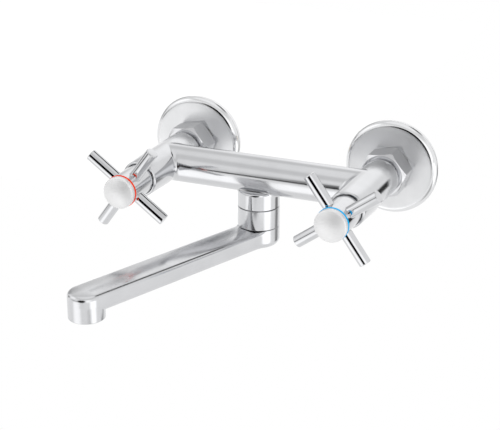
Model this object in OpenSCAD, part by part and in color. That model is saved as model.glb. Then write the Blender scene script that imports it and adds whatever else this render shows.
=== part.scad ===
// Wall-mounted mixer tap with two cross handles and a swinging spout.
// Millimetres. X runs to the cold side, Y into the wall, Z up.
// The origin lies on the wall, midway between the two inlets.

/* [Layout] */
// Distance between the hot and the cold inlet
inlet_spacing = 150; // [130:1:180]
// From the back end of an arm to the axis of the crossbar
bar_setback = 28.7; // [28:0.1:34]
// How far the spout socket stands to the hot side of the middle
socket_shift = 4.2; // [0:0.1:10]
// How far the spout stands to the left of straight out, in degrees
spout_swing = 21.1; // [0:0.1:60]
// Angle of the first rod of the hot handle above level, in degrees
rod_phase = 54; // [0:1:89]

/* [Body] */
// Diameter of each arm
arm_dia = 26.4; // [26:0.1:32]
// Length of each arm
arm_length = 44.3; // [43:0.1:50]
// Rounding of the back end of an arm
arm_round = 2.6; // [0.5:0.1:3]
// Diameter of the crossbar
bar_dia = 26.4; // [22:0.1:28]
// Diameter of the waterway in the crossbar
bar_bore = 14.6; // [10:0.1:15]
// Diameter of the spout socket and of the collar below it
socket_dia = 29.2; // [27.4:0.1:34]
// From the axis of the crossbar down to the bottom of the socket
socket_drop = 22; // [18:0.1:30]
// Diameter of the thread below the socket
stub_dia = 24; // [22:0.1:24.6]
// Length of that thread
stub_length = 9.2; // [6:0.1:14]

/* [Wall connection] */
// Diameter of a wall flange
flange_dia = 67; // [55:0.5:80]
// How far a wall flange stands out from the wall
flange_depth = 9.3; // [7:0.1:14]
// Rounding of the flange's front edge
flange_round = 4.5; // [2:0.1:5]
// How much narrower the flange's radius is at the wall
flange_lean = 1.2; // [0:0.1:2]
// Thickness of the flange's sheet
flange_sheet = 1.2; // [0.8:0.1:1.6]
// Outside diameter of the thread in the wall, G 1/2
inlet_thread = 20.96; // [18:0.01:24]
// Outside diameter of the thread that the nut grips, G 3/4
union_thread = 26.44; // [26:0.01:28]
// How far the wall union reaches into the wall
wall_reach = 18; // [12:0.5:30]
// Waterway through the wall union
union_bore = 13; // [9:0.1:14]
// Length of thread that the nut grips on the wall union
union_grip = 7.6; // [5:0.1:8]
// Thickness of the inlet gasket
gasket_thick = 1.5; // [1:0.1:3]

/* [Union nut] */
// Length of the nut
nut_length = 17.3; // [16.5:0.1:22]
// Brass between the nut's thread and its flats
nut_wall = 1.78; // [1.5:0.01:3]
// How far the nut's corners are turned down at both ends
nut_chamfer = 2.7; // [0.5:0.1:3]
// How far the hexagons stand from a corner pointing sideways, in degrees
hex_turn = 8.8; // [0:0.1:59]

/* [Inlet tail] */
// Outside diameter of the tail
tail_dia = 17.8; // [14:0.1:18]
// Waterway through the tail
tail_bore = 12.6; // [9:0.1:13]
// Thickness of the collar that the nut pulls on
tail_collar = 2.6; // [2:0.1:3.4]
// How deep the tail is screwed into the arm
tail_grip = 10.5; // [6:0.1:12]

/* [Headwork] */
// From the valve seat to the axis of the crossbar
seat_setback = 12.7; // [12:0.1:14]
// Diameter of the hole in the valve seat
seat_bore = 12; // [9:0.1:13]
// Brass that the arm keeps round the headwork's thread
headwork_cover = 2.75; // [2.5:0.05:3]
// Length of the headwork's thread
headwork_grip = 7.2; // [6:0.1:7.3]
// From the headwork's thread in to the disc cage below it
cage_step = 1.45; // [1.2:0.05:1.6]
// Brass wall of the disc cage
cage_wall = 1; // [0.7:0.1:1.2]
// How much wider the headwork's flats are than its thread
hex_proud = 0.1; // [0:0.05:0.1]
// Height of the headwork's hexagon
headwork_hex = 6; // [4:0.1:8]
// Diameter of the neck that holds the sleeve
neck_dia = 18; // [14:0.1:18.5]
// Length of the neck
neck_length = 13.5; // [12:0.1:18]

/* [Ceramic discs] */
// Thickness of each ceramic disc
disc_thick = 2.5; // [2:0.1:3]
// Thickness of the rubber seat seal
seal_thick = 2.9; // [2:0.1:3.4]
// Inner edge of the disc ports, as a diameter
port_inner = 4.4; // [3:0.1:6]
// From the rim of the seat seal in to the ports
seal_width = 1.95; // [1.4:0.05:2.4]
// Angle that each port spans, in degrees
port_span = 80; // [40:1:86]

/* [Spindle] */
// Diameter of the spindle
spindle_dia = 9; // [8.6:0.1:10]
// Diameter over the spindle's splines
spline_dia = 8; // [6.4:0.1:8.4]
// Length of the splines
spline_length = 17; // [12:0.1:18]
// Number of splines
spline_teeth = 20; // [12:1:24]
// Width of the dog that drives the moving disc
dog_width = 6; // [4:0.1:7]
// Height of that dog
dog_height = 3; // [2:0.1:3.4]
// Thickness of a spindle O-ring
spindle_cord = 1.5; // [1.2:0.1:1.7]
// Thickness of the spindle clip
clip_thick = 0.8; // [0.6:0.1:1.2]

/* [Sleeve] */
// How far the sleeve's back edge stands proud of the arm
sleeve_step = 0.25; // [0:0.05:1]
// Length of the sleeve
sleeve_length = 27.4; // [26:0.1:36]
// Diameter of the sleeve at its front
sleeve_front = 25.2; // [25:0.1:27]
// Rounding of the sleeve's front edge
sleeve_round = 1.4; // [0.5:0.1:1.4]
// Thickness of the sleeve's wall
sleeve_wall = 0.9; // [0.7:0.05:1]
// Thickness of the threaded web inside the sleeve
sleeve_web = 4; // [2:0.1:6]

/* [Handle] */
// Diameter of the hub
hub_dia = 21.6; // [21:0.1:22]
// Length of the hub
hub_length = 29.6; // [29:0.1:34]
// How deep the hub sits inside the sleeve
hub_sunk = 5; // [2:0.1:6]
// From the hub's front face back to the axes of the rods
rod_setback = 8.2; // [6.5:0.1:9]
// Diameter of a rod
rod_dia = 8.2; // [6:0.1:9]
// From the handle's axis to the end of a rod
rod_reach = 33.5; // [28:0.5:36]
// Rounding of a rod's end
rod_round = 0.8; // [0.2:0.1:2]
// Diameter of the spigot that holds a rod in the hub
spigot_dia = 5; // [3:0.1:5.6]
// Diameter of the recess for the screw head
recess_dia = 12; // [10:0.1:13]
// Depth of that recess
recess_depth = 9.6; // [9:0.1:10.5]
// Diameter of the coloured index ring
index_dia = 22.4; // [21.6:0.1:24]
// Thickness of the index ring
index_thick = 1.5; // [0.8:0.1:3]
// Diameter of the cap
cap_dia = 22; // [20:0.1:23]
// Height of the cap's straight side
cap_side = 2.9; // [2:0.1:5]
// Rounding between the cap's side and its dome
cap_round = 1.3; // [0.4:0.1:2]
// Height of the dome above the cap's side
cap_dome = 3.4; // [2:0.1:6]
// How deep the cap plugs into the recess
cap_plug = 5.5; // [3:0.1:6]
// Diameter of the handle screw
screw_dia = 5; // [4:0.1:5]
// Diameter of the screw's head
screw_head_dia = 8.6; // [7:0.1:9]
// Height of the screw's head
screw_head = 3; // [2:0.1:3.4]

/* [Spout] */
// From the socket's axis to the centre of the nozzle
spout_reach = 155.5; // [120:0.5:220]
// Width of the spout
spout_width = 24; // [23:0.1:27]
// Height of the spout
spout_height = 14; // [12:0.1:18]
// Rounding of the spout's long edges
spout_round = 5.2; // [2:0.1:5.5]
// Waterway through the spout
spout_bore = 9; // [6:0.1:9]
// Rounding of the spout root's lower edge
root_round = 5; // [1:0.1:6]
// Diameter of the spout's tail
swivel_dia = 16; // [15:0.1:17]
// How far the tail reaches into the stub and the socket
swivel_length = 18; // [16:0.1:19]
// Waterway through the tail
swivel_bore = 10.4; // [8:0.1:10.6]
// Thickness of a spout O-ring
spout_cord = 1.4; // [1.2:0.1:1.6]
// Thickness of the collar's lip
collar_lip = 2.4; // [1.5:0.1:4]
// Thickness of the split ring
split_thick = 2; // [1.2:0.1:3]
// Thickness of the slide ring
slide_thick = 1; // [0.6:0.1:2]

/* [Nozzle] */
// Diameter of the nozzle
nozzle_dia = 24; // [19.4:0.1:24]
// How far the nozzle stands below the spout
nozzle_drop = 5.2; // [4:0.1:10]
// Rounding of the nozzle's rim
nozzle_round = 0.7; // [0.2:0.1:0.8]
// Outside diameter of the aerator's thread, M16.5
aerator_dia = 16.5; // [15:0.1:16.6]
// Length of the aerator
aerator_length = 7; // [5:0.1:8]
// Wall of the aerator's shell
aerator_wall = 1; // [0.7:0.1:1.5]
// Thickness of the aerator washer
washer_thick = 1.4; // [1:0.1:2]
// Side of the aerator's square jets
jet_size = 1.3; // [0.8:0.1:1.6]
// Distance between neighbouring jets
jet_pitch = 2.1; // [2:0.1:3]

/* [Clearances] */
// Radial clearance of a screwed or pushed joint
thread_fit = 0.06; // [0.03:0.01:0.08]
// Radial clearance of a turning pin
running_fit = 0.05; // [0.02:0.01:0.09]
// Gap between pieces that turn past each other
turning_gap = 0.3; // [0.2:0.05:0.5]
// Gap between the moving and the fixed ceramic disc
disc_gap = 0.05; // [0.02:0.01:0.1]
// Open line behind the flange side and before the arm side of a nut
nut_gap = 0.7; // [0.3:0.1:1]
// Open line between the socket and the collar
collar_gap = 0.6; // [0.2:0.1:1]

/* [Hidden] */
$fn = 72;

// The two sides, as signs of X
hot = -1;
cold = 1;

// Overshoot of cuts, and turns in degrees
past = 0.5;
quarter = 90;
half_turn = 180;
full_turn = 360;

// Distances out from the wall, one piece after the other
nut_from = flange_depth + nut_gap;
nut_to = nut_from + nut_length;
arm_from = nut_to + nut_gap;
arm_to = arm_from + arm_length;
bar_out = arm_from + bar_setback;
seat_out = bar_out - seat_setback;
union_to = nut_from + union_grip;
gasket_to = union_to + gasket_thick;
tail_collar_to = gasket_to + tail_collar;
nut_web_from = tail_collar_to + thread_fit;
tail_to = arm_from + tail_grip;

// The valve, outwards from its seat
seal_to = seat_out + seal_thick;
fixed_to = seal_to + disc_thick;
moving_from = fixed_to + disc_gap;
moving_to = moving_from + disc_thick;
slot_depth = disc_thick * 0.4;
headwork_thread = arm_dia - 2 * headwork_cover;
headwork_flats = headwork_thread + hex_proud;
cage_dia = headwork_thread - 2 * cage_step;
dog_from = moving_to + disc_gap;
dog_to = dog_from + dog_height;
cage_from = seat_out + seal_thick * 0.4;
cage_top = dog_to + turning_gap;
cage_r = cage_dia / 2;
disc_r = cage_r - cage_wall - running_fit;
port_outer = 2 * (disc_r - seal_width);
thread_from = arm_to - headwork_grip;
headwork_rim = 1;
hex_to = arm_to + headwork_rim + headwork_hex;
neck_to = hex_to + neck_length;
clip_from = neck_to + turning_gap;
clip_to = clip_from + clip_thick;
spindle_r = spindle_dia / 2;
spline_r = spline_dia / 2;

// The handle, outwards from the sleeve
sleeve_from = arm_to + thread_fit;
sleeve_to = sleeve_from + sleeve_length;
sleeve_web_from = hex_to + headwork_rim;
hub_from = sleeve_to - hub_sunk;
hub_to = hub_from + hub_length;
hub_r = hub_dia / 2;
rod_out = hub_to - rod_setback;
recess_from = hub_to - recess_depth;
spline_to = hub_from + spline_length;
index_to = hub_to + index_thick;
cap_to = index_to + cap_side;
plug_from = hub_to - cap_plug;
screw_tip = spline_to - spline_length * 0.7;
socket_key = screw_head_dia * 0.2;

// Heights below the axis of the crossbar
stub_bottom = -socket_drop - stub_length;
slide_bottom = stub_bottom - thread_fit - slide_thick;
split_top = slide_bottom - thread_fit;
split_bottom = split_top - split_thick;
lip_top = split_bottom - thread_fit;
collar_bottom = lip_top - collar_lip;
spout_top = collar_bottom - turning_gap;
spout_middle = spout_top - spout_height / 2;
spout_bottom = spout_top - spout_height;
nozzle_bottom = spout_bottom - nozzle_drop;
swivel_top = stub_bottom + swivel_length;
swivel_r = swivel_dia / 2;
split_groove = swivel_r - split_thick * 0.45;
nozzle_well_top = nozzle_bottom + aerator_inset() + aerator_length + washer_thick;

// How far the aerator sits up inside the nozzle's rim
function aerator_inset() = 0.4;

// Local frames: z runs out from the wall for a side, x runs along the spout
module outward(side) translate([side * inlet_spacing / 2, 0, 0]) rotate([quarter, 0, 0]) children();
module at_socket() translate([-socket_shift, -bar_out, 0]) children();
module along_spout() at_socket() rotate([0, 0, -quarter - spout_swing]) children();

module rod(r, from, to) translate([0, 0, from]) cylinder(r = r, h = to - from);
module tube(outer, inner, from, to) difference() {
  rod(outer, from, to);
  rod(inner, from - past, to + past);
}
module o_ring(cord, outer, at) rotate_extrude() translate([outer - cord / 2, at]) circle(d = cord);

// A round bar from one height to another with both rims rounded
module rounded_rod(r, from, to, from_round, to_round) rotate_extrude() {
  translate([0, from + from_round]) square([r, to - from - from_round - to_round]);
  translate([0, from]) square([r - from_round, from_round + past]);
  translate([0, to - to_round - past]) square([r - to_round, to_round + past]);
  if (from_round > 0) translate([r - from_round, from + from_round]) circle(from_round);
  if (to_round > 0) translate([r - to_round, to - to_round]) circle(to_round);
}

// A round cone from radius a to radius b whose front rim is rounded
module cup(a, b, to, round) {
  polygon([[0, 0], [a, 0], [b, to - round], [0, to - round]]);
  translate([0, to - round - past]) square([b - round, round + past]);
  translate([b - round, to - round]) circle(round);
}

// A hexagonal bar whose corners are turned down at both ends
module hex_bar(flats, chamfer, from, to) intersection() {
  corner = flats / sqrt(3);
  slope = (chamfer + past) * tan(half_turn / 5);
  translate([0, 0, from]) rotate([0, 0, hex_turn]) cylinder(r = corner, h = to - from, $fn = 6);
  rotate_extrude() polygon([
    [0, from], [corner - chamfer, from], [corner + past, from + slope],
    [corner + past, to - slope], [corner - chamfer, to], [0, to]]);
}

// The pair of butterfly ports of a ceramic disc
module ports(turn, from, to) translate([0, 0, from]) linear_extrude(to - from) intersection() {
  difference() {
    circle(d = port_outer);
    circle(d = port_inner);
  }
  for (a = [0, half_turn]) rotate(turn + a) polygon([
    [0, 0],
    port_outer * [cos(port_span / 2), -sin(port_span / 2)],
    port_outer * [1.2, 0],
    port_outer * [cos(port_span / 2), sin(port_span / 2)]]);
}

// The angle of a side's first rod, mirrored from hot to cold
function phase(side) = side == hot ? rod_phase : half_turn - rod_phase;

module body() color("silver") difference() {
  union() {
    for (side = [hot, cold]) outward(side) rounded_rod(arm_dia / 2, arm_from, arm_to, arm_round, 0);
    translate([-inlet_spacing / 2, -bar_out, 0]) rotate([0, quarter, 0])
      cylinder(d = bar_dia, h = inlet_spacing);
    at_socket() {
      rod(socket_dia / 2, -socket_drop, 0);
      rod(stub_dia / 2, stub_bottom, -socket_drop + past);
    }
  }
  for (side = [hot, cold]) outward(side) {
    rod(tail_dia / 2 + thread_fit, arm_from - past, tail_to + thread_fit);
    rod(seat_bore / 2, tail_to, seat_out + past);
    rod(headwork_thread / 2 - headwork_rim / 2, seat_out, thread_from);
    rod(headwork_thread / 2 + thread_fit, thread_from, arm_to + past);
  }
  translate([-inlet_spacing / 2, -bar_out, 0]) rotate([0, quarter, 0]) cylinder(d = bar_bore, h = inlet_spacing);
  at_socket() {
    rod(swivel_bore / 2, swivel_top, 0);
    rod(swivel_r + running_fit, stub_bottom - past, swivel_top + turning_gap);
  }
}

module wall_union(side) color("darkkhaki") outward(side) difference() {
  union() {
    rounded_rod(inlet_thread / 2, -wall_reach, past, 1, 0);
    rounded_rod(union_thread / 2, 0, union_to, 0, 1);
  }
  rod(union_bore / 2, -wall_reach - past, union_to + past);
}

module wall_flange(side) color("silver") outward(side) rotate_extrude() {
  r = flange_dia / 2;
  inner = r - flange_sheet;
  difference() {
    cup(r - flange_lean, r, flange_depth, flange_round);
    cup(inner - flange_lean, inner, flange_depth - flange_sheet, flange_round - flange_sheet);
    translate([0, -past]) square([inner - flange_lean, 2 * past]);
    square([union_thread / 2 + thread_fit, flange_depth + past]);
  }
}

module union_nut(side) color("gainsboro") outward(side) difference() {
  hex_bar(union_thread + 2 * nut_wall, nut_chamfer, nut_from, nut_to);
  rod(union_thread / 2 + thread_fit, nut_from - past, nut_web_from);
  rod(tail_dia / 2 + turning_gap, nut_web_from - past, nut_to + past);
}

module inlet_gasket(side) color("dimgray") outward(side)
  tube(union_thread / 2 - turning_gap, tail_bore / 2, union_to, gasket_to);

module inlet_tail(side) color("darkkhaki") outward(side) difference() {
  union() {
    rod(union_thread / 2 - turning_gap, gasket_to, tail_collar_to);
    rod(tail_dia / 2, tail_collar_to - past, tail_to);
  }
  rod(tail_bore / 2, gasket_to - past, tail_to + past);
}

module seat_seal(side) color("black") outward(side) tube(disc_r, port_outer / 2, seat_out, seal_to);

module fixed_disc(side) color("white") outward(side) difference() {
  rod(disc_r, seal_to, fixed_to);
  ports(0, seal_to - past, fixed_to + past);
}

module moving_disc(side) color("whitesmoke") outward(side) difference() {
  rod(disc_r, moving_from, moving_to);
  ports(quarter, moving_from - past, moving_to + past);
  translate([0, 0, moving_to]) cube([dog_width + 2 * running_fit, cage_dia, 2 * slot_depth], center = true);
}

module headwork(side) color("darkkhaki") outward(side) difference() {
  union() {
    rod(cage_r, cage_from, thread_from + past);
    rod(headwork_thread / 2, thread_from + thread_fit, arm_to + past);
    rod(headwork_flats / 2 + headwork_rim, arm_to, arm_to + headwork_rim);
    hex_bar(headwork_flats, headwork_rim / 2, arm_to + headwork_rim, hex_to);
    rod(neck_dia / 2, hex_to - past, neck_to);
  }
  rod(disc_r + running_fit, cage_from - past, cage_top);
  rod(spindle_r + running_fit, cage_top - past, neck_to + past);
  translate([0, 0, (moving_from + cage_top) / 2])
    cube([dog_width + 2 * past, cage_dia + 2 * past, cage_top - moving_from], center = true);
}

module spindle(side) color("darkkhaki") outward(side) difference() {
  union() {
    rod(spindle_r, dog_to - past, clip_to + past);
    intersection() {
      rod(disc_r - running_fit, dog_from, dog_to);
      translate([0, 0, dog_from]) cube([dog_width, cage_dia, 2 * dog_height], center = true);
    }
    intersection() {
      rod(disc_r - past, moving_to - slot_depth + disc_gap, dog_from + past);
      translate([0, 0, moving_to]) cube([dog_width, cage_dia, 2 * slot_depth], center = true);
    }
    translate([0, 0, clip_to]) linear_extrude(spline_to - clip_to) polygon(
      [for (i = [0:2 * spline_teeth - 1]) let (t = i * half_turn / spline_teeth)
        (i % 2 == 0 ? spline_r : spline_r - thread_fit * 5) * [cos(t), sin(t)]]);
  }
  for (at = spindle_grooves()) tube(spindle_dia, spindle_r - spindle_cord - running_fit,
    at - spindle_cord * 0.6, at + spindle_cord * 0.6);
  tube(spindle_dia, spindle_r - clip_thick, clip_from, clip_to);
  rod(screw_dia / 2 + running_fit, screw_tip - past, spline_to + past);
}

// Where the two O-rings sit on a spindle
function spindle_grooves() = [cage_top + 4 * spindle_cord, cage_top + 7 * spindle_cord];

module spindle_o_rings(side) color("black") outward(side)
  for (at = spindle_grooves()) o_ring(spindle_cord, spindle_r, at);

module spindle_clip(side) color("slategray") outward(side) difference() {
  tube(spindle_r + 2 * clip_thick, spindle_r - clip_thick + running_fit, clip_from, clip_to - running_fit);
  translate([0, 0, clip_from - past]) rotate(phase(side))
    translate([0, -clip_thick, 0]) cube([spindle_dia, 2 * clip_thick, clip_thick + 2 * past]);
}

module sleeve(side) color("silver") outward(side) translate([0, 0, sleeve_from]) {
  back = arm_dia / 2 + sleeve_step;
  web_from = sleeve_web_from - sleeve_from;
  rotate_extrude() difference() {
    cup(back, sleeve_front / 2, sleeve_length, sleeve_round);
    polygon([[0, -past], [back - sleeve_wall, -past],
      [back - sleeve_wall - (back - sleeve_front / 2) * web_from / sleeve_length, web_from], [0, web_from]]);
    square([neck_dia / 2 + thread_fit, sleeve_length]);
    translate([0, web_from + sleeve_web]) square([hub_r + turning_gap, sleeve_length]);
  }
}

module hub(side) color("silver") outward(side) difference() {
  rod(hub_r, hub_from, hub_to);
  rod(spline_r + thread_fit, hub_from - past, spline_to + thread_fit);
  rod(screw_dia / 2 + turning_gap, spline_to, recess_from + past);
  rod(recess_dia / 2, recess_from, hub_to + past);
  for (k = [0:3]) rotate([0, 0, phase(side) + k * quarter]) translate([0, 0, rod_out])
    rotate([0, quarter, 0]) rod(spigot_dia / 2 + thread_fit, recess_dia / 4, hub_r + past);
}

module rods(side) color("gainsboro") outward(side) for (k = [0:3])
  rotate([0, 0, phase(side) + k * quarter]) {
    difference() {
      translate([0, 0, rod_out]) rotate([0, quarter, 0])
        rounded_rod(rod_dia / 2, hub_r / 2, rod_reach, 0, rod_round);
      rod(hub_r + thread_fit / 2, rod_out - rod_dia, rod_out + rod_dia);
    }
    translate([0, 0, rod_out]) rotate([0, quarter, 0])
      rod(spigot_dia / 2, recess_dia / 2 + turning_gap, hub_r + past);
  }

module index_ring(side) color(side == hot ? "red" : "deepskyblue") outward(side)
  tube(index_dia / 2, recess_dia / 2, hub_to, index_to);

module cap(side) color("white") outward(side) {
  r = cap_dia / 2;
  plug_r = recess_dia / 2 - thread_fit;
  shoulder = r - cap_round;
  rise = cap_dome - cap_round;
  drop = (shoulder * shoulder - rise * rise) / (2 * rise);
  rotate_extrude() {
    translate([0, index_to]) square([r, cap_side]);
    translate([shoulder, cap_to]) circle(cap_round);
    intersection() {
      translate([0, cap_to - drop]) circle(drop + cap_dome);
      translate([0, cap_to - drop]) polygon([[0, 0], 2 * [shoulder, drop], [0, 2 * drop]]);
      translate([0, index_to]) square([r, cap_side + cap_dome + past]);
    }
    translate([plug_r - sleeve_wall, plug_from]) square([sleeve_wall, index_to - plug_from + past]);
  }
}

module screw(side) color("darkgray") outward(side) difference() {
  union() {
    rod(screw_dia / 2, screw_tip, recess_from + past);
    rounded_rod(screw_head_dia / 2, recess_from, recess_from + screw_head, 0, screw_head / 4);
  }
  translate([0, 0, recess_from + screw_head / 3])
    cylinder(r = socket_key, h = screw_head, $fn = 6);
}

module spout_collar() color("silver") along_spout() difference() {
  rounded_rod(socket_dia / 2, collar_bottom, -socket_drop - collar_gap, collar_gap / 2, collar_gap / 2);
  rod(stub_dia / 2 + thread_fit, lip_top, -socket_drop);
  rod(swivel_r + turning_gap, collar_bottom - past, lip_top + past);
}

module spout_slide_ring() color("ivory") along_spout()
  tube(stub_dia / 2 - turning_gap, swivel_r + running_fit, slide_bottom, stub_bottom - thread_fit);

module spout_split_ring() color("ivory") along_spout() difference() {
  tube(stub_dia / 2 - 2 * turning_gap, split_groove + running_fit, split_bottom, split_top);
  translate([-stub_dia, -split_thick / 2, split_bottom - past])
    cube([stub_dia, split_thick, split_thick + 2 * past]);
}

module spout_o_rings() color("black") along_spout()
  for (at = spout_grooves()) o_ring(spout_cord, swivel_r, at);

// Where the two O-rings sit on the spout's tail
function spout_grooves() = [swivel_top - 2 * spout_cord, swivel_top - 5 * spout_cord];

module spout() color("silver") along_spout() difference() {
  union() {
    rod(swivel_r, spout_top - past, swivel_top);
    rounded_rod(socket_dia / 2, spout_bottom, spout_top, root_round, collar_gap / 2);
    translate([0, 0, spout_middle]) rotate([quarter, 0, quarter]) linear_extrude(spout_reach) {
      square([spout_width - 2 * spout_round, spout_height], center = true);
      square([spout_width, spout_height - 2 * spout_round], center = true);
      for (x = [-1, 1], y = [-1, 1])
        translate([x * (spout_width / 2 - spout_round), y * (spout_height / 2 - spout_round)]) circle(spout_round);
    }
    translate([spout_reach, 0, 0]) rounded_rod(spout_width / 2, spout_bottom, spout_top, spout_round, spout_round);
    translate([spout_reach, 0, 0]) rounded_rod(nozzle_dia / 2, nozzle_bottom, spout_middle, nozzle_round, 0);
  }
  rod(swivel_bore / 2, spout_middle, swivel_top + past);
  for (at = spout_grooves()) tube(swivel_dia, swivel_r - spout_cord - running_fit,
    at - spout_cord * 0.6, at + spout_cord * 0.6);
  tube(swivel_dia, split_groove, split_bottom - running_fit, split_top + running_fit);
  translate([0, 0, spout_middle]) rotate([0, quarter, 0]) cylinder(d = spout_bore, h = spout_reach);
  translate([spout_reach, 0, 0]) {
    rod(spout_bore / 2, nozzle_bottom, spout_middle);
    rod(aerator_dia / 2 + thread_fit, nozzle_bottom - past, nozzle_well_top);
  }
}

module aerator_washer() color("black") along_spout() translate([spout_reach, 0, 0])
  tube(aerator_dia / 2 - aerator_wall / 2, spout_bore / 2, nozzle_well_top - washer_thick, nozzle_well_top);

module aerator_insert() color("lightgray") along_spout() translate([spout_reach, 0, 0]) {
  bottom = nozzle_bottom + aerator_inset() + aerator_wall / 2;
  r = aerator_dia / 2 - aerator_wall - thread_fit;
  count = floor(r / jet_pitch);
  difference() {
    rod(r, bottom, bottom + aerator_length / 2);
    for (i = [-count:count], j = [-count:count])
      if (norm([i, j]) * jet_pitch < r - jet_size) translate([i * jet_pitch, j * jet_pitch, bottom])
        cube([jet_size, jet_size, 2 * aerator_length], center = true);
  }
}

module aerator_shell() color("silver") along_spout() translate([spout_reach, 0, 0]) difference() {
  bottom = nozzle_bottom + aerator_inset();
  tube(aerator_dia / 2, aerator_dia / 2 - aerator_wall, bottom, bottom + aerator_length);
  for (k = [0:5]) rotate(k * full_turn / 6) translate([aerator_dia / 2, 0, bottom])
    cube([3 * aerator_wall, 2 * aerator_wall, aerator_wall * 1.6], center = true);
}

body();
wall_union(hot);  // hot_wall_union
wall_union(cold);  // cold_wall_union
wall_flange(hot);  // hot_wall_flange
wall_flange(cold);  // cold_wall_flange
union_nut(hot);  // hot_union_nut
union_nut(cold);  // cold_union_nut
inlet_gasket(hot);  // hot_inlet_gasket
inlet_gasket(cold);  // cold_inlet_gasket
inlet_tail(hot);  // hot_inlet_tail
inlet_tail(cold);  // cold_inlet_tail
seat_seal(hot);  // hot_seat_seal
seat_seal(cold);  // cold_seat_seal
fixed_disc(hot);  // hot_fixed_disc
fixed_disc(cold);  // cold_fixed_disc
moving_disc(hot);  // hot_moving_disc
moving_disc(cold);  // cold_moving_disc
headwork(hot);  // hot_headwork
headwork(cold);  // cold_headwork
spindle(hot);  // hot_spindle
spindle(cold);  // cold_spindle
spindle_o_rings(hot);  // hot_spindle_o_rings
spindle_o_rings(cold);  // cold_spindle_o_rings
spindle_clip(hot);  // hot_spindle_clip
spindle_clip(cold);  // cold_spindle_clip
sleeve(hot);  // hot_sleeve
sleeve(cold);  // cold_sleeve
hub(hot);  // hot_hub
hub(cold);  // cold_hub
rods(hot);  // hot_rods
rods(cold);  // cold_rods
index_ring(hot);  // hot_index_ring
index_ring(cold);  // cold_index_ring
cap(hot);  // hot_cap
cap(cold);  // cold_cap
screw(hot);  // hot_screw
screw(cold);  // cold_screw
spout_collar();
spout_slide_ring();
spout_split_ring();
spout_o_rings();
spout();
aerator_washer();
aerator_insert();
aerator_shell();
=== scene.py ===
import math

import bpy
import numpy as np
from mathutils import Matrix, Vector


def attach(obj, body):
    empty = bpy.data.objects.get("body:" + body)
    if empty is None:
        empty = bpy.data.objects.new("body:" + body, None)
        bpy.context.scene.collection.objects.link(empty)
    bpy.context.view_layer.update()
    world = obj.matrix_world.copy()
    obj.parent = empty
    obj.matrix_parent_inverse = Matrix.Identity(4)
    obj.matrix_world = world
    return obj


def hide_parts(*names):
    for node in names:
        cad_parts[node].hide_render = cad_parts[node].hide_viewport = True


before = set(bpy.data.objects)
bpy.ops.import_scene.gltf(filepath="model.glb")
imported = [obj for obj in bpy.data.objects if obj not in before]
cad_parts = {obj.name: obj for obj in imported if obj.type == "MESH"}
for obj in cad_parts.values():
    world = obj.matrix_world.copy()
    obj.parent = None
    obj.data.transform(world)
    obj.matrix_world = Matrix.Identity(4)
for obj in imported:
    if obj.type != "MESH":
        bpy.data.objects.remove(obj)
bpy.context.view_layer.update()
scene = bpy.context.scene
MM = 0.001


# --- Camera ---------------------------------------------------------------------------------------------
# It stands a little to the cold side and above the tap, with a long lens, so that both handles
# come out at nearly the same size. Its place and turn are those solved from the photograph.

ABOVE, ASIDE = 21.22, 23.41
bpy.ops.object.camera_add(
    location=(0.3521, -0.8951, 0.3233), rotation=(math.radians(90 - ABOVE), 0, math.radians(ASIDE)))
camera = bpy.context.object
camera.data.lens = 100.8
camera.data.sensor_width = 36
scene.camera = camera
scene.view_settings.view_transform = "Standard"


# --- Light tent -----------------------------------------------------------------------------------------
# Polished metal shows little but what stands round it: pale walls, a thin dark gap in front at
# the height of the table, an opening for the lens, and soft panels, some lit and some dark.

def add(tree, kind, inputs={}, **settings):
    """Adds a node with its own settings. Its inputs, by name or number, are values or links."""
    node = tree.nodes.new(kind)
    for key, value in settings.items():
        setattr(node, key, value)
    for key, value in inputs.items():
        if isinstance(value, bpy.types.NodeSocket):
            tree.links.new(value, node.inputs[key])
        else:
            node.inputs[key].default_value = value
    return node


def grade(tree, value, stops):
    """A soft colour ramp through grey tones, given as (place, tone) pairs."""
    ramp = add(tree, "ShaderNodeValToRGB", {"Fac": value})
    ramp.color_ramp.interpolation = "EASE"
    while len(ramp.color_ramp.elements) < len(stops):
        ramp.color_ramp.elements.new(0.5)
    for element, (place, tone) in zip(ramp.color_ramp.elements, stops):
        element.position = place
        element.color = (tone, tone, tone, 1)
    return ramp.outputs["Color"]


tent = bpy.data.worlds.new("light_tent")
tent.use_nodes = True
scene.world = tent
tree = tent.node_tree
tree.nodes.clear()
way = add(tree, "ShaderNodeTexCoord").outputs["Generated"]
height = add(tree, "ShaderNodeSeparateXYZ", {0: way}).outputs["Z"]
height = add(tree, "ShaderNodeMapRange", {"Value": height, "From Min": -1, "From Max": 1})
walls = grade(tree, height.outputs[0], [  # from straight down to straight up
    (0.00, 0.95), (0.45, 1.00), (0.60, 0.98), (0.75, 1.00),
    (0.86, 0.78), (0.91, 0.78), (0.96, 1.00), (1.00, 1.00)])


def cover(mask, tone, under):
    """Lays a grey tone over the tent where the mask is one."""
    mix = add(tree, "ShaderNodeMix", {0: mask, 6: under, 7: (tone, tone, tone, 1)}, data_type="RGBA")
    return mix.outputs[2]


def patch(azimuth, elevation, tone, inner, outer, under):
    """A soft round patch of another tone on the tent, fading out from inner to outer degrees."""
    a, e = math.radians(azimuth), math.radians(elevation)
    middle = (math.sin(a) * math.cos(e), -math.cos(a) * math.cos(e), math.sin(e))
    near = add(tree, "ShaderNodeVectorMath", {0: way, 1: middle}, operation="DOT_PRODUCT")
    mask = add(tree, "ShaderNodeMapRange", {
        "Value": near.outputs["Value"], "From Min": math.cos(math.radians(outer)),
        "From Max": math.cos(math.radians(inner))}, interpolation_type="SMOOTHSTEP")
    return cover(mask.outputs[0], tone, under)


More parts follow.
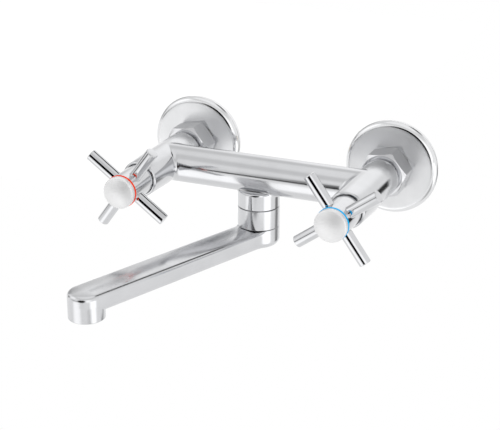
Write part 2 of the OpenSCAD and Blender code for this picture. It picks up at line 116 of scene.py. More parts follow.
def gap(low, high, soft, tone, under):
    """A level dark gap in the front half of the tent, between two heights."""
    up = add(tree, "ShaderNodeSeparateXYZ", {0: way}).outputs
    above = add(tree, "ShaderNodeMapRange", {
        "Value": up["Z"], "From Min": low - soft, "From Max": low}, interpolation_type="SMOOTHSTEP")
    below = add(tree, "ShaderNodeMapRange", {
        "Value": up["Z"], "From Min": high + soft, "From Max": high}, interpolation_type="SMOOTHSTEP")
    front = add(tree, "ShaderNodeMapRange", {
        "Value": up["Y"], "From Min": -0.2, "From Max": -0.6}, interpolation_type="SMOOTHSTEP")
    mask = add(tree, "ShaderNodeMath", {0: above.outputs[0], 1: below.outputs[0]}, operation="MULTIPLY")
    mask = add(tree, "ShaderNodeMath", {0: mask.outputs[0], 1: front.outputs[0]}, operation="MULTIPLY")
    return cover(mask.outputs[0], tone, under)


walls = gap(-0.05, 0.02, 0.05, 0.05, walls)
PANELS = (  # degrees from the front towards the cold side, degrees up, tone, inner and outer degrees
    (-175, 27, 1.22, 8, 26),   # lit: behind, above the level of the tap
    (40, 8, 1.4, 10, 30),      # lit: level, to the right of the lens
    (72, -21, 1.6, 12, 24),    # lit: low on the cold side
    (138, -20, 0.25, 5, 17),   # dark: low behind the cold side
    (48, -45, 0.50, 8, 20),    # dark: far below the lens
    (-33, -36, 1.45, 10, 28),  # lit: low in front of the hot side
    (-65, 34, 1.3, 6, 22),     # lit: high on the hot side
    (-128, 16, 0.45, 6, 24),   # dark: behind the hot side
    (-94, 6, 0.12, 5, 12),     # dark: level, on the hot side
    (149, 48, 0.0, 9, 14),     # dark: high behind the cold side
    (151, -5, 0.0, 5, 11),     # dark: level, behind the cold side
    (3, 6, 0.0, 20, 27))       # dark: the opening in front
for panel in PANELS:
    walls = patch(*panel, walls)
path = add(tree, "ShaderNodeLightPath")
shown = add(tree, "ShaderNodeMath", {
    0: path.outputs["Is Camera Ray"], 1: path.outputs["Is Transmission Ray"]}, operation="MAXIMUM")
around = add(tree, "ShaderNodeBackground", {"Color": walls})
behind = add(tree, "ShaderNodeBackground", {"Color": (1, 1, 1, 1)})
light = add(tree, "ShaderNodeMixShader", {
    0: shown.outputs[0], 1: around.outputs[0], 2: behind.outputs[0]})
add(tree, "ShaderNodeOutputWorld", {"Surface": light.outputs[0]})

# A large soft lamp high on the hot side, for the plastic and the shadow. The metal doesn't show it.
bpy.ops.object.light_add(type="AREA", location=(-0.7, -0.5, 1.1))
lamp = bpy.context.object
lamp.data.size = 0.9
lamp.data.energy = 1.5
lamp.visible_glossy = False
lamp.rotation_euler = Vector((0.7, 0.45, -1.1)).to_track_quat("-Z", "Y").to_euler()


# --- Table ----------------------------------------------------------------------------------------------
# A sheet of white paper below the tap, as large as the lens needs and no larger, so that the metal
# shows the tent in front of it. It is white to the lens, and it takes a soft shadow.

def material(name):
    """A new material with an empty node tree."""
    made = bpy.data.materials.new(name)
    made.use_nodes = True
    made.node_tree.nodes.clear()
    return made, made.node_tree


bpy.ops.mesh.primitive_plane_add(size=1, location=(-0.72, 0.96, -0.25), scale=(1.94, 2.48, 1))
floor = bpy.context.object
floor.name = "floor"
bpy.ops.object.transform_apply(location=True, scale=True)
paper, tree = material("white_paper")
matt = add(tree, "ShaderNodeBsdfDiffuse", {"Color": (0.6, 0.6, 0.6, 1)})
glow = add(tree, "ShaderNodeEmission", {"Color": (1, 1, 1, 1), "Strength": 0.5})
path = add(tree, "ShaderNodeLightPath")
shown = add(tree, "ShaderNodeMath", {
    0: path.outputs["Is Camera Ray"], 1: path.outputs["Is Glossy Ray"]}, operation="MAXIMUM")
shown = add(tree, "ShaderNodeMath", {
    0: shown.outputs[0], 1: path.outputs["Is Transmission Ray"]}, operation="MAXIMUM")
both = add(tree, "ShaderNodeAddShader", {0: matt.outputs[0], 1: glow.outputs[0]})
mixed = add(tree, "ShaderNodeMixShader", {0: shown.outputs[0], 1: matt.outputs[0], 2: both.outputs[0]})
add(tree, "ShaderNodeOutputMaterial", {"Surface": mixed.outputs[0]})
floor.data.materials.append(paper)


# --- Wall flanges ---------------------------------------------------------------------------------------
# Two cups of brass sheet, turned at the rim, polished and plated. They stand on the wall, hide
# the hole behind them, and are held by the thread of the wall union that runs through them.

def soften(corners, steps=9):
    """Rounds the corners of an outline of (radius, height, rounding) points."""
    line = []
    for i, (x, y, rounding) in enumerate(corners):
        here = Vector((x, y))
        if not rounding:
            line.append(here)
            continue
        one = (Vector(corners[i - 1][:2]) - here).normalized()
        two = (Vector(corners[(i + 1) % len(corners)][:2]) - here).normalized()
        half = one.angle(two) / 2
        middle = here + (one + two).normalized() * rounding / math.sin(half)
        start = here + one * rounding / math.tan(half) - middle
        end = here + two * rounding / math.tan(half) - middle
        for k in range(steps + 1):
            line.append(middle + start.slerp(end, k / steps).normalized() * rounding)
    return line


def weld():
    """Ends the edit of a mesh: joins its doubled points and turns its faces outwards."""
    bpy.ops.mesh.select_all(action="SELECT")
    bpy.ops.mesh.remove_doubles(threshold=1e-6)
    bpy.ops.mesh.normals_make_consistent(inside=False)
    bpy.ops.object.mode_set(mode="OBJECT")


def smooth(degrees):
    """Shades the chosen piece smooth, apart from edges sharper than so many degrees."""
    bpy.ops.object.shade_smooth_by_angle(angle=math.radians(degrees))


def turned(name, corners, foot, along, steps=144):
    """Spins an outline in millimetres round an axis, as on a lathe."""
    along = Vector(along).normalized()
    across = along.orthogonal().normalized()
    closed = corners[0][0] > 0 or corners[-1][0] > 0
    line = [Vector(foot) + (across * p.x + along * p.y) * MM for p in soften(corners)]
    line += line[:1] if closed else []
    bpy.ops.object.select_all(action="DESELECT")
    bpy.ops.mesh.primitive_plane_add(size=MM, location=line[0])
    piece = bpy.context.object
    piece.name = name
    bpy.ops.object.transform_apply(location=True)
    bpy.ops.object.mode_set(mode="EDIT")
    bpy.ops.mesh.select_mode(type="VERT")
    bpy.ops.mesh.merge(type="CENTER")
    for a, b in zip(line, line[1:]):
        bpy.ops.mesh.extrude_region_move(TRANSFORM_OT_translate={"value": b - a})
    bpy.ops.mesh.select_all(action="SELECT")
    bpy.ops.mesh.spin(steps=steps, angle=2 * math.pi, center=foot, axis=along)
    weld()
    smooth(28)
    return piece


def polish_group():
    """Faint marks of polished plating: a haze of wiping marks, soft waves and worn edges."""
    group = bpy.data.node_groups.new("polish", "ShaderNodeTree")
    for name in ("Base", "Haze", "Wave", "Wear", "Face"):
        group.interface.new_socket(name, in_out="INPUT", socket_type="NodeSocketFloat")
    for name in ("Roughness", "Marks", "Edge"):
        group.interface.new_socket(name, in_out="OUTPUT", socket_type="NodeSocketFloat")
    group.interface.new_socket("Normal", in_out="OUTPUT", socket_type="NodeSocketVector")
    given = add(group, "NodeGroupInput").outputs
    place = add(group, "ShaderNodeTexCoord").outputs["Object"]
    wipes = add(group, "ShaderNodeTexNoise", {"Vector": place, "Scale": 60, "Detail": 5})
    haze = add(group, "ShaderNodeMapRange", {
        "Value": wipes.outputs["Fac"], "From Min": 0.35, "From Max": 0.75})
    shape = add(group, "ShaderNodeNewGeometry")
    soft = add(group, "ShaderNodeBevel", {"Radius": 0.0007}, samples=6)
    facing = add(group, "ShaderNodeVectorMath", {
        0: soft.outputs[0], 1: shape.outputs["Normal"]}, operation="DOT_PRODUCT")
    edge = add(group, "ShaderNodeMapRange", {
        "Value": facing.outputs["Value"], "From Min": 0.99, "From Max": 0.86})
    edge = add(group, "ShaderNodeMath", {
        0: edge.outputs[0], 1: given["Wear"]}, operation="MULTIPLY", use_clamp=True)
    rough = add(group, "ShaderNodeMath", {
        0: haze.outputs[0], 1: given["Haze"], 2: given["Base"]}, operation="MULTIPLY_ADD")
    rough = add(group, "ShaderNodeMath", {
        0: edge.outputs[0], 1: 0.15, 2: rough.outputs[0]}, operation="MULTIPLY_ADD")
    forward = add(group, "ShaderNodeVectorMath", {
        0: shape.outputs["Normal"], 1: (0, -1, 0)}, operation="DOT_PRODUCT")
    forward = add(group, "ShaderNodeMapRange", {
        "Value": forward.outputs["Value"], "From Min": 0.96, "From Max": 0.995})
    rough = add(group, "ShaderNodeMath", {
        0: forward.outputs[0], 1: given["Face"], 2: rough.outputs[0]}, operation="MULTIPLY_ADD")
    waves = add(group, "ShaderNodeTexNoise", {"Vector": place, "Scale": 22, "Detail": 1})
    bump = add(group, "ShaderNodeBump", {
        "Strength": given["Wave"], "Distance": 0.0004, "Height": waves.outputs["Fac"]})
    add(group, "NodeGroupOutput", {
        "Roughness": rough.outputs[0], "Marks": haze.outputs[0], "Edge": edge.outputs[0],
        "Normal": bump.outputs[0]})
    return group


polish = polish_group()


def metal(name, colour, worn, base=0.1, haze=0.05, wave=0.05, wear=0.4, face=0.0, metallic=1.0):
    """Polished or turned metal: its colour, that of its worn edges, and how strong its marks are."""
    made, tree = material(name)
    marks = add(tree, "ShaderNodeGroup", {
        "Base": base, "Haze": haze, "Wave": wave, "Wear": wear, "Face": face}, node_tree=polish)
    dull = tuple(0.94 * c for c in colour)
    tint = add(tree, "ShaderNodeMix", {
        0: marks.outputs["Marks"], 6: colour + (1,), 7: dull + (1,)}, data_type="RGBA")
    tint = add(tree, "ShaderNodeMix", {
        0: marks.outputs["Edge"], 6: tint.outputs[2], 7: worn + (1,)}, data_type="RGBA")
    shell = add(tree, "ShaderNodeBsdfPrincipled", {
        "Metallic": metallic, "Base Color": tint.outputs[2],
        "Roughness": marks.outputs["Roughness"], "Normal": marks.outputs["Normal"]})
    add(tree, "ShaderNodeOutputMaterial", {"Surface": shell.outputs[0]})
    return made


def fit(piece, made, slot, body, *nodes):
    """Finishes a piece: its material, its body, and the CAD pieces it stands for. The slot is not used.
    """
    piece.data.materials.clear()
    piece.data.materials.append(made)
    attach(piece, body)
    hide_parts(*nodes)


INLET = 75                       # how far each inlet is from the middle
SIDES = {"hot": -INLET * MM, "cold": INLET * MM}
OUT, UP = (0, -1, 0), (0, 0, 1)  # away from the wall, and up
FLANGE_R, FLANGE_FRONT, UNION_R = 33.5, 9.3, 13.28
flange_plate = metal(
    "flange_plate", (0.82, 0.825, 0.835), (0.62, 0.61, 0.60), base=0.10, haze=0.05, wave=0.08, face=0.24)
for side, x in SIDES.items():
    flange = turned(side + "_flange", [
        (32.3, 0.0, 0.3), (FLANGE_R, 5.2, 2.0), (FLANGE_R, FLANGE_FRONT, 4.2), (28.8, FLANGE_FRONT, 0),
        (UNION_R, FLANGE_FRONT, 0.3), (UNION_R, 8.1, 0), (30.3, 8.1, 1.8), (32.2, 5.0, 0),
        (31.1, 0.0, 0)], (x, 0, 0), OUT)
    fit(flange, flange_plate, "chrome_trim", "fixed", side + "_wall_flange")


# --- Wall unions and inlet tails ------------------------------------------------------------------------
# Turned brass: the unions are screwed into the pipes in the wall, the tails into the backs of the
# arms, and a fibre washer is pressed between the two. The nuts hide all but the unions' threads.

def moulded(name, colour, darker, gloss=0.3, rough=0.3, grain=180, skin=0.1):
    """Moulded, pressed or sintered stuff in one colour, a little uneven in tone and gloss."""
    made, tree = material(name)
    place = add(tree, "ShaderNodeTexCoord").outputs["Object"]
    flow = add(tree, "ShaderNodeTexNoise", {"Vector": place, "Scale": grain, "Detail": 3})
    shade = add(tree, "ShaderNodeMix", {
        0: flow.outputs["Fac"], 6: colour + (1,), 7: darker + (1,)}, data_type="RGBA")
    uneven = add(tree, "ShaderNodeMapRange", {
        "Value": flow.outputs["Fac"], "To Min": rough - 0.05, "To Max": rough + 0.1})
    bump = add(tree, "ShaderNodeBump", {
        "Strength": skin, "Distance": 0.0002, "Height": flow.outputs["Fac"]})
    shell = add(tree, "ShaderNodeBsdfPrincipled", {
        "Base Color": shade.outputs[2], "Roughness": uneven.outputs[0], "Specular IOR Level": gloss,
        "Normal": bump.outputs[0]})
    add(tree, "ShaderNodeOutputMaterial", {"Surface": shell.outputs[0]})
    return made


def dress(made, *names):
    """Gives CAD pieces that are shown as they are a material."""
    for name in names:
        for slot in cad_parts[name].material_slots:
            slot.material = made


BRASS, BARE = (0.60, 0.42, 0.17), (0.72, 0.54, 0.27)
turned_brass = metal("turned_brass", BRASS, BARE, base=0.22, haze=0.20, wave=0.10, wear=0.8)
dress(turned_brass, "hot_wall_union", "cold_wall_union", "hot_inlet_tail", "cold_inlet_tail")
dress(moulded("pressed_fibre", (0.13, 0.10, 0.08), (0.08, 0.07, 0.06), rough=0.8, grain=900, skin=0.5),
      "hot_inlet_gasket", "cold_inlet_gasket")


# --- Union nuts -----------------------------------------------------------------------------------------
# Hexagonal brass nuts that pull the tap against the wall unions. They are cut from hexagon bar,
# their corners are turned down at both ends, and the edges left between the flats stay crisp.

def choose(piece, *more):
    """Selects one piece or more and nothing else. The first becomes the active one."""
    bpy.ops.object.select_all(action="DESELECT")
    for each in (piece, *more):
        each.select_set(True)
    bpy.context.view_layer.objects.active = piece


def carve(piece, other, how):
    """Joins another form to a piece, cuts it out of the piece or keeps what both share."""
    step = piece.modifiers.new("carve", "BOOLEAN")
    step.object = other
    step.operation = how
    step.solver = "EXACT"
    choose(piece)
    bpy.ops.object.modifier_apply(modifier=step.name)
    bpy.data.objects.remove(other, do_unlink=True)


def chrome(name, **marks):
    """Bright chromium plate over polished brass."""
    return metal(name, (0.67, 0.675, 0.69), (0.60, 0.59, 0.58), **marks)


NUT_TURN = math.radians(21.2)
NUT_BACK, NUT_FRONT, NUT_CORNER = 10.0, 27.3, 17.32
CHAMFER_IN, CHAMFER_OUT = 14.62, 18.6
nut_plate = chrome("nut_plate")
for side, x in SIDES.items():
    bpy.ops.object.select_all(action="DESELECT")
    bpy.ops.mesh.primitive_cylinder_add(
        vertices=6, radius=NUT_CORNER * MM, depth=17.3 * MM, location=(x, -18.65 * MM, 0),
        rotation=(math.pi / 2, NUT_TURN, 0))
    nut = bpy.context.object
    nut.name = side + "_nut"
    bpy.ops.object.transform_apply(location=True, rotation=True)
    bpy.ops.object.mode_set(mode="EDIT")
    bpy.ops.mesh.bevel(offset=0.35 * MM, segments=3)
    bpy.ops.object.mode_set(mode="OBJECT")
    turned_down = turned("turned_down", [
        (UNION_R, NUT_BACK, 0.3), (CHAMFER_IN, NUT_BACK, 0), (CHAMFER_OUT, 12.9, 0),
        (CHAMFER_OUT, 24.4, 0), (CHAMFER_IN, NUT_FRONT, 0), (9.2, NUT_FRONT, 0.3), (9.2, 21.76, 0),
        (UNION_R, 21.76, 0)], (x, 0, 0), OUT)
    carve(nut, turned_down, "INTERSECT")
    smooth(18)
    fit(nut, nut_plate, "chrome_trim", "fixed", side + "_union_nut")


# --- Body -----------------------------------------------------------------------------------------------
# One brass casting: two arms, the crossbar between them and the spout socket below it. Where
# they meet, the casting is dressed with a file and wheel to a small hollow, and then plated.

PIPE_R, SOCKET_R = 13.2, 14.6      # the arms and the crossbar, and the socket
BAR_Y, SOCKET_X = 56.7, 4.2        # the crossbar off the wall, and the socket to the hot side
ARM_END, SOCKET_TOP = 28.0, -10.4  # where the forms begin
ARM_PAST, SOCKET_PAST = 80, -30    # where they end, past the faces that are cut later
ARM_FACE, SOCKET_FACE = 72.3, 22
AXIS = (-SOCKET_X * MM, -BAR_Y * MM, 0)


def rounded_pillar(reach, along, radius, low, high, rounding):
    """Distance to a round bar with rounded rims, from how far off and along its axis a point is."""
    side = reach - radius + rounding
    end = np.abs(along - (low + high) / 2) - (high - low) / 2 + rounding
    outside = np.hypot(np.maximum(side, 0), np.maximum(end, 0))
    return np.minimum(np.maximum(side, end), 0) + outside - rounding


def casting(p):
    """Distance in millimetres to the casting's forms, with hollows where they meet at an angle."""
    x, y, z = p.T
    off_arm, off_bar, off_socket = np.abs(x) - INLET, y + BAR_Y, x + SOCKET_X
    arms = rounded_pillar(np.hypot(off_arm, z), -y, PIPE_R, ARM_END, ARM_PAST, 2.6)
    bar = rounded_pillar(np.hypot(off_bar, z), x, PIPE_R, -INLET, INLET, 1)
    socket = rounded_pillar(
        np.hypot(off_socket, off_bar), z, SOCKET_R, SOCKET_PAST, SOCKET_TOP, 1.0)
    arm_way = np.stack([np.sign(x) * off_arm, 0 * y, z])
    bar_way = np.stack([0 * x, off_bar, z])
    socket_way = np.stack([off_socket, off_bar, 0 * z])

    def meet(a, b, one, two, size):
        """Joins two forms, with a hollow that is deeper the more they face away from each other."""
        cosine = (one * two).sum(0) / (np.linalg.norm(one, axis=0) * np.linalg.norm(two, axis=0) + 1e-9)
        size = size * np.clip(1 - cosine, 1e-3, 1)
        share = np.clip(size - np.abs(a - b), 0, None) / size
        return np.minimum(a, b) - share ** 2 * size / 4

    return meet(meet(arms, bar, arm_way, bar_way, 3.0), socket, bar_way, socket_way, 1.2)


def pull(piece, field, rounds=8):
    """Moves each point of a mesh onto the surface where a distance field is nought."""
    mesh = piece.data
    p = np.empty(3 * len(mesh.vertices))
    mesh.vertices.foreach_get("co", p)
    p = p.reshape(-1, 3) / MM
    for _ in range(rounds):
        off = field(p)
        slope = np.stack([field(p + step) - field(p - step) for step in np.eye(3) * 0.01], 1) / 0.02
        p -= off[:, None] * slope / np.maximum((slope ** 2).sum(1, keepdims=True), 0.25)
    mesh.vertices.foreach_set("co", (p * MM).ravel())
    mesh.update()


def bar_blank(radius, low, high, foot, along, segments=64):
    """A plain round bar to start from."""
    along = Vector(along)
    bpy.ops.object.select_all(action="DESELECT")
    bpy.ops.mesh.primitive_cylinder_add(
        vertices=segments, radius=radius * MM, depth=(high - low) * MM,
        location=Vector(foot) + along * (low + high) / 2 * MM,
        rotation=along.to_track_quat("Z", "Y").to_euler())
    bpy.ops.object.transform_apply(location=True, rotation=True)
    return bpy.context.object


# Plain bars are joined, remeshed to an even grain and pulled to the casting's surface.
body = bar_blank(PIPE_R, -INLET, INLET, (0, -BAR_Y * MM, 0), (1, 0, 0))
body.name = "tap_body"
for x in SIDES.values():
    carve(body, bar_blank(PIPE_R, ARM_END, ARM_PAST, (x, 0, 0), OUT), "UNION")
carve(body, bar_blank(SOCKET_R, SOCKET_PAST, SOCKET_TOP, AXIS, UP), "UNION")
grain = body.modifiers.new("grain", "REMESH")
grain.mode = "VOXEL"
grain.voxel_size = 0.7 * MM
choose(body)
bpy.ops.object.modifier_apply(modifier=grain.name)
pull(body, casting)

# The arms and the socket are faced off, the stub is added, and the bores are turned.
choose(body)
bpy.ops.object.mode_set(mode="EDIT")
for point, way_out in (((0, -ARM_FACE * MM, 0), OUT), ((0, 0, -SOCKET_FACE * MM), (0, 0, -1))):
    bpy.ops.mesh.select_all(action="SELECT")
    bpy.ops.mesh.bisect(plane_co=point, plane_no=way_out, use_fill=True, clear_outer=True)
bpy.ops.object.mode_set(mode="OBJECT")
stub = turned("stub", [
    (0, -30, 0), (8.05, -30, 0), (8.05, -31.2, 0.2), (12.0, -31.2, 0.5), (12.0, -21, 0), (0, -21, 0)],
    AXIS, UP)
carve(body, stub, "UNION")
carve(body, turned("socket_bore", [
    (0, -32, 0), (8.05, -32, 0), (8.05, -12.9, 0), (5.2, -12.9, 0), (5.2, 0, 0), (0, 0, 0)],
    AXIS, UP), "DIFFERENCE")
for x in SIDES.values():
    carve(body, turned("arm_bore", [
        (0, 27, 0), (8.96, 27, 0), (8.96, 38.56, 0), (6, 38.56, 0), (6, 44, 0), (9.95, 44, 0),
        (9.95, 65.1, 0), (10.51, 65.1, 0), (10.51, 73, 0), (0, 73, 0)], (x, 0, 0), OUT), "DIFFERENCE")
smooth(35)
fit(body, chrome("body_plate", base=0.11, wave=0.07), "chrome_body", "fixed", "body")


# --- Valves ---------------------------------------------------------------------------------------------
# A brass headwork is screwed into each arm. Its spindle turns a ceramic disc on a fixed one, which
# stands on a rubber seal; rubber rings seal the spindle and a spring clip keeps it in.

valve_brass = metal("valve_brass", BRASS, BARE, base=0.18, haze=0.16, wave=0.06, wear=0.7)
spindle_brass = metal(
    "spindle_brass", (0.63, 0.45, 0.20), BARE, base=0.14, haze=0.12, wave=0.04, wear=0.8)
ceramic = moulded(
    "sintered_ceramic", (0.80, 0.78, 0.73), (0.72, 0.70, 0.65), rough=0.2, grain=600, skin=0.05)
rubber = moulded(
    "black_rubber", (0.022, 0.022, 0.023), (0.012, 0.012, 0.012), rough=0.6, grain=700, skin=0.3)
spring_steel = metal(
    "spring_steel", (0.46, 0.46, 0.45), (0.58, 0.58, 0.57), base=0.25, haze=0.15, wear=0.7)
for side in SIDES:
    dress(valve_brass, side + "_headwork")
    dress(spindle_brass, side + "_spindle")
    dress(ceramic, side + "_fixed_disc", side + "_moving_disc")
    dress(rubber, side + "_seat_seal", side + "_spindle_o_rings")
    dress(spring_steel, side + "_spindle_clip", side + "_screw")


# --- Sleeves --------------------------------------------------------------------------------------------
# A thin turned brass sleeve over each headwork, screwed up against the front of its arm. It
# tapers a little, and the hub turns inside its open front.

sleeve_plate = chrome("sleeve_plate")
for side, x in SIDES.items():
    sleeve = turned(side + "_trim_sleeve", [
        (13.45, 72.36, 0.2), (12.6, 99.76, 1.4), (11.1, 99.76, 0.15), (11.1, 84.3, 0), (9.06, 84.3, 0),
        (9.06, 80.3, 0), (12.3, 80.3, 0), (12.55, 72.36, 0)], (x, 0, 0), OUT)
    fit(sleeve, sleeve_plate, "chrome_trim", "fixed", side + "_sleeve")


# --- Hubs -----------------------------------------------------------------------------------------------
# The turned hub of each cross handle, pushed on the spindle's splines. Its front is bored out for
# the screw and the cap, and four holes round it take the spigots of the rods.

PHASES = {"hot": 54, "cold": 126}  # degrees anticlockwise from the right to the first rod
HUB_R, HUB_FRONT, ROD_Y = 10.8, 124.36, 116.16
hub_plate = chrome("hub_plate")
for side, x in SIDES.items():
    hub = turned(side + "_handle_hub", [
        (4.06, 94.76, 0), (HUB_R, 94.76, 0.3), (HUB_R, HUB_FRONT, 0.25), (6, HUB_FRONT, 0.2),
        (6, 114.76, 0), (2.8, 114.76, 0), (2.8, 111.82, 0), (4.06, 111.82, 0)], (x, 0, 0), OUT)
    for k in range(4):
        a = math.radians(PHASES[side] + 90 * k)
        carve(hub, bar_blank(
            2.56, 3.2, 12, (x, -ROD_Y * MM, 0), (math.cos(a), 0, math.sin(a)), 48), "DIFFERENCE")
    smooth(28)
    fit(hub, hub_plate, "chrome_handle", side + "_handle", side + "_hub")


# --- Rods -----------------------------------------------------------------------------------------------
# Four round rods a handle, cut from drawn brass rod. Each has a spigot that is pressed into the
# hub and a hollowed foot that sits on it. The outer ends are flat with a small rounding.

ROD_R, ROD_END = 4.1, 33.5
rod_plate = chrome("rod_plate", base=0.07, haze=0.03, wave=0.02)
for side, x in SIDES.items():
    a = math.radians(PHASES[side])
    centre = Vector((x, -ROD_Y * MM, 0))
    along = (math.cos(a), 0, math.sin(a))
    rods = turned(side + "_handle_rods", [
        (0, 7, 0), (ROD_R, 7, 0), (ROD_R, ROD_END, 0.55), (0, ROD_END, 0)], centre, along, steps=96)
    carve(rods, bar_blank(10.83, 106, 126, (x, 0, 0), OUT, 160), "DIFFERENCE")
    carve(rods, turned("spigot", [
        (0, 6.3, 0), (2.5, 6.3, 0.3), (2.5, 12, 0), (0, 12, 0)], centre, along, steps=48), "UNION")
    smooth(28)
    to_centre, back = Matrix.Translation(-centre), Matrix.Translation(centre)
    copies = []
    for k in range(1, 4):
        copy = rods.copy()
        copy.data = rods.data.copy()
        bpy.context.collection.objects.link(copy)
        copy.data.transform(back @ Matrix.Rotation(k * math.pi / 2, 4, "Y") @ to_centre)
        copies.append(copy)
    choose(rods, *copies)
    bpy.ops.object.join()
    fit(rods, rod_plate, "chrome_handle", side + "_handle", side + "_rods")


# --- Index rings ----------------------------------------------------------------------------------------
# Thin rings of coloured plastic between hub and cap: red for hot, blue for cold. They are moulded
# in one colour with a slight gloss.

INKS = {
    "hot": ("index_red", (1.0, 0.05, 0.0), (0.92, 0.04, 0.0)),
    "cold": ("index_blue", (0.0, 0.52, 1.0), (0.0, 0.46, 0.92))}
RING_R, RING_FRONT = 11.2, 125.86
for side, x in SIDES.items():
    slot, colour, darker = INKS[side]
    ring = turned(side + "_colour_ring", [
        (6, HUB_FRONT, 0.1), (RING_R, HUB_FRONT, 0.3), (RING_R, RING_FRONT, 0.3), (6, RING_FRONT, 0.1)],
        (x, 0, 0), OUT)
    ink = moulded(side + "_index", colour, darker, gloss=0.08, rough=0.5)
    fit(ring, ink, slot, side + "_handle", side + "_index_ring")


# --- Caps -----------------------------------------------------------------------------------------------
# Low domed caps that plug into the hub and hide the screw. They have a fine groove round the side,
# a small rounding and a shallow dome, and are duller than the rest.

def arc(x, y, radius, start, end, steps=16):
    """Corners along an arc of an outline, by degrees from the axis."""
    turns = [math.radians(start + (end - start) * k / steps) for k in range(steps + 1)]
    return [(max(0.0, x + radius * math.sin(t)), y + radius * math.cos(t), 0) for t in turns]


CAP_R, GROOVE_R = 11, 10.45
cap_plate = metal(
    "cap_plate", (0.88, 0.88, 0.885), (0.84, 0.84, 0.84), base=0.40, haze=0.08, wave=0.05, metallic=0.5)
for side, x in SIDES.items():
    cap = turned(side + "_handle_cap", [
        (0, 127, 0), (5.04, 127, 0), (5.04, 118.86, 0), (5.94, 118.86, 0.2), (5.94, RING_FRONT, 0),
        (10.9, RING_FRONT, 0.1), (10.9, 126.7, 0), (GROOVE_R, 126.7, 0), (GROOVE_R, 127.3, 0),
        (CAP_R, 127.3, 0.1)]
        + arc(9.7, 128.76, 1.3, 90, 24.4, 8) + arc(0, 107.41, 24.75, 23, 0, 16), (x, 0, 0), OUT)
    fit(cap, cap_plate, "chrome_handle", side + "_handle", side + "_cap")


# --- Spout bearing --------------------------------------------------------------------------------------
# Slippery acetal rings between the collar, the stub and the spout's tail, and two rubber rings that
# seal the tail in the stub. The split ring is sprung into the tail's groove and carries the spout.

acetal = moulded("white_acetal", (0.76, 0.75, 0.70), (0.70, 0.69, 0.64), gloss=0.4)
dress(acetal, "spout_slide_ring", "spout_split_ring")
dress(rubber, "spout_o_rings")


# --- Spout collar ---------------------------------------------------------------------------------------
# The round nut below the socket that holds the spout. It is as wide as the socket, and a fine
# open line is left above it.

COLLAR_LOW, COLLAR_TOP = -36.78, -22.8
collar_plate = chrome("collar_plate", base=0.18)
collar = turned("socket_collar", [
    (8.3, COLLAR_LOW, 0.2), (SOCKET_R, COLLAR_LOW, 0.3), (SOCKET_R, COLLAR_TOP, 0.3),
    (12.06, COLLAR_TOP, 0.2), (12.06, -34.38, 0), (8.3, -34.38, 0)], AXIS, UP, steps=160)
fit(collar, collar_plate, "chrome_trim", "fixed", "spout_collar")


# --- Spout ----------------------------------------------------------------------------------------------
# A flat cast arm with a round root under the collar and a round nozzle under its end. The top is
# slightly crowned, its edges are tight, and the lower edges are well rounded.

SWING = math.radians(-90 - 21.1)  # from the right, with the 21.1 degrees of the photograph
SPOUT_WAY = (math.cos(SWING), math.sin(SWING), 0)
ROOT, REACH = SOCKET_R, 155.5     # the root's radius, and the nozzle's distance from its axis
WIDE, FILLET = 12, 15             # half the arm's width, and the rounding from the root into it
TOP, LOW, LOWER_EDGE = -37.08, -51.08, 5.1
CROWN, TOP_EDGE = 1.4, 3.5        # how high the top is crowned, and the rounding of its edges
ROOT_EDGE = 0.3
WATERWAY, WATER_Z = 4.5, -44.08   # the bore's radius and height
MOUTH_R, RIM, SEAT = 8.31, -56.28, -47.48


def spout_plan():
    """Half of the arm's outline from root to nose, each point with the point it crowns to."""
    half = []
    aside = WIDE + FILLET
    bend = math.sqrt((ROOT + FILLET) ** 2 - aside ** 2)
    lean = math.atan2(aside, bend)
    for k in range(33):
        a = math.pi - (math.pi - lean) * k / 32
        half.append((ROOT * math.cos(a), ROOT * math.sin(a), 0.0, 0.0))
    for k in range(1, 13):
        a = math.pi + lean + (math.pi / 2 - lean) * k / 12
        half.append((bend + FILLET * math.cos(a), aside + FILLET * math.sin(a), bend * k / 12, k / 12))
    for k in range(1, 61):
        s = bend + (REACH - bend) * k / 60
        half.append((s, WIDE, s, 1.0))
    for k in range(1, 33):
        a = math.pi / 2 * (1 - k / 32)
        half.append((REACH + WIDE * math.cos(a), WIDE * math.sin(a), REACH, 1.0))
    return half


def spout_section(arm):
    """(distance in, height) down one side of the section: arm is 0 at the root and 1 beyond it."""
    crown, edge = CROWN * arm, ROOT_EDGE + (TOP_EDGE - ROOT_EDGE) * arm
    slant = math.atan(2 * crown / WIDE * (WIDE - edge) / WIDE)
    rows = []
    for k in range(13):
        inward = WIDE - (WIDE - edge) * math.sin(math.pi / 2 * k / 12)
        rows.append((inward, TOP - crown * ((WIDE - inward) / WIDE) ** 2))
    shoulder = rows[-1][1]
    for k in range(1, 9):
        a = slant + (math.pi / 2 - slant) * k / 8
        rows.append((edge - edge * math.sin(a), shoulder - edge + edge * math.cos(a)))
    for k in range(1, 6):
        rows.append((0.0, shoulder - edge + (LOW + LOWER_EDGE - shoulder + edge) * k / 6))
    for k in range(11):
        a = math.pi / 2 * k / 10
        rows.append((LOWER_EDGE - LOWER_EDGE * math.cos(a), LOW + LOWER_EDGE - LOWER_EDGE * math.sin(a)))
    return rows + [(8.0, LOW), (WIDE, LOW)]


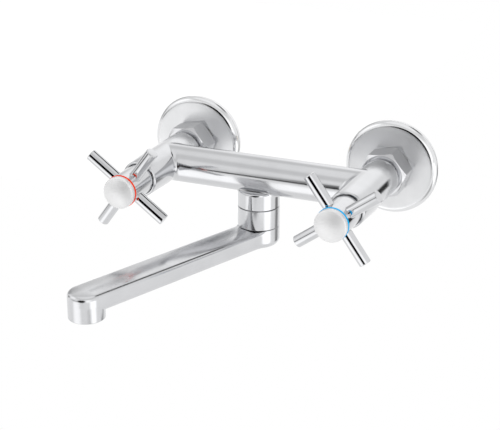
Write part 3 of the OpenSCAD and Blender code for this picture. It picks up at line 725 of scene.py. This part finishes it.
half = spout_plan()
outline = half + [(s, -w, c, arm) for s, w, c, arm in half[-2:0:-1]]
points, faces = [], []
for s, w, c, arm in outline:
    reach = math.hypot(s - c, w)
    for inward, z in spout_section(arm):
        past = max(0.0, inward - WIDE / 2) / (WIDE / 2)
        depth = inward + (reach - WIDE) * past
        points.append((s + (c - s) * depth / reach, w - w * depth / reach, z))
count = len(spout_section(1))
for i in range(len(outline)):
    one, two = i * count, (i + 1) % len(outline) * count
    faces += [(one + k, two + k, two + k + 1, one + k + 1) for k in range(count - 1)]
mesh = bpy.data.meshes.new("spout_arm")
mesh.from_pydata([Vector(p) * MM for p in points], [], faces)
spout = bpy.data.objects.new("spout_arm", mesh)
bpy.context.collection.objects.link(spout)
mesh.transform(Matrix.Translation(AXIS) @ Matrix.Rotation(SWING, 4, "Z"))
choose(spout)
bpy.ops.object.mode_set(mode="EDIT")
weld()

# The tail goes up into the stub, the nozzle stands below the arm's end, and a bore joins the two.
NOSE = Vector(AXIS) + Vector(SPOUT_WAY) * REACH * MM
carve(spout, turned("tail", [
    (0, -38, 0), (8, -38, 0), (8, -34.4, 0), (7.1, -34.4, 0), (7.1, -32.24, 0), (8, -32.24, 0),
    (8, -21.05, 0), (6.55, -21.05, 0), (6.55, -19.35, 0), (8, -19.35, 0), (8, -16.85, 0),
    (6.55, -16.85, 0), (6.55, -15.15, 0), (8, -15.15, 0), (8, -13.2, 0.4), (0, -13.2, 0)],
    AXIS, UP), "UNION")
carve(spout, turned("nozzle", [
    (0, -46, 0), (11.98, -46, 0), (11.98, RIM, 0.7), (MOUTH_R, RIM, 0.3), (MOUTH_R, SEAT, 0),
    (0, SEAT, 0)], NOSE, UP), "UNION")
carve(spout, turned("nozzle_bore", [
    (0, -58, 0), (MOUTH_R, -58, 0), (MOUTH_R, SEAT, 0), (WATERWAY, SEAT, 0), (WATERWAY, WATER_Z, 0),
    (0, WATER_Z, 0)], NOSE, UP), "DIFFERENCE")
carve(spout, bar_blank(
    WATERWAY, 0, REACH, Vector(AXIS) + Vector((0, 0, WATER_Z * MM)), SPOUT_WAY, 48), "DIFFERENCE")
carve(spout, bar_blank(5.2, WATER_Z, -13, AXIS, UP, 64), "DIFFERENCE")
smooth(30)
fit(spout, chrome("spout_plate", base=0.18), "chrome_spout", "spout", "spout")


# --- Aerator --------------------------------------------------------------------------------------------
# A plated shell screwed up inside the nozzle holds a plastic insert of thin webs, which mixes air
# into the water, and presses it against a rubber washer.

dress(chrome("aerator_plate", base=0.12), "aerator_shell")
dress(moulded("aerator_acetal", (0.62, 0.63, 0.64), (0.55, 0.56, 0.57), gloss=0.4), "aerator_insert")
dress(rubber, "aerator_washer")
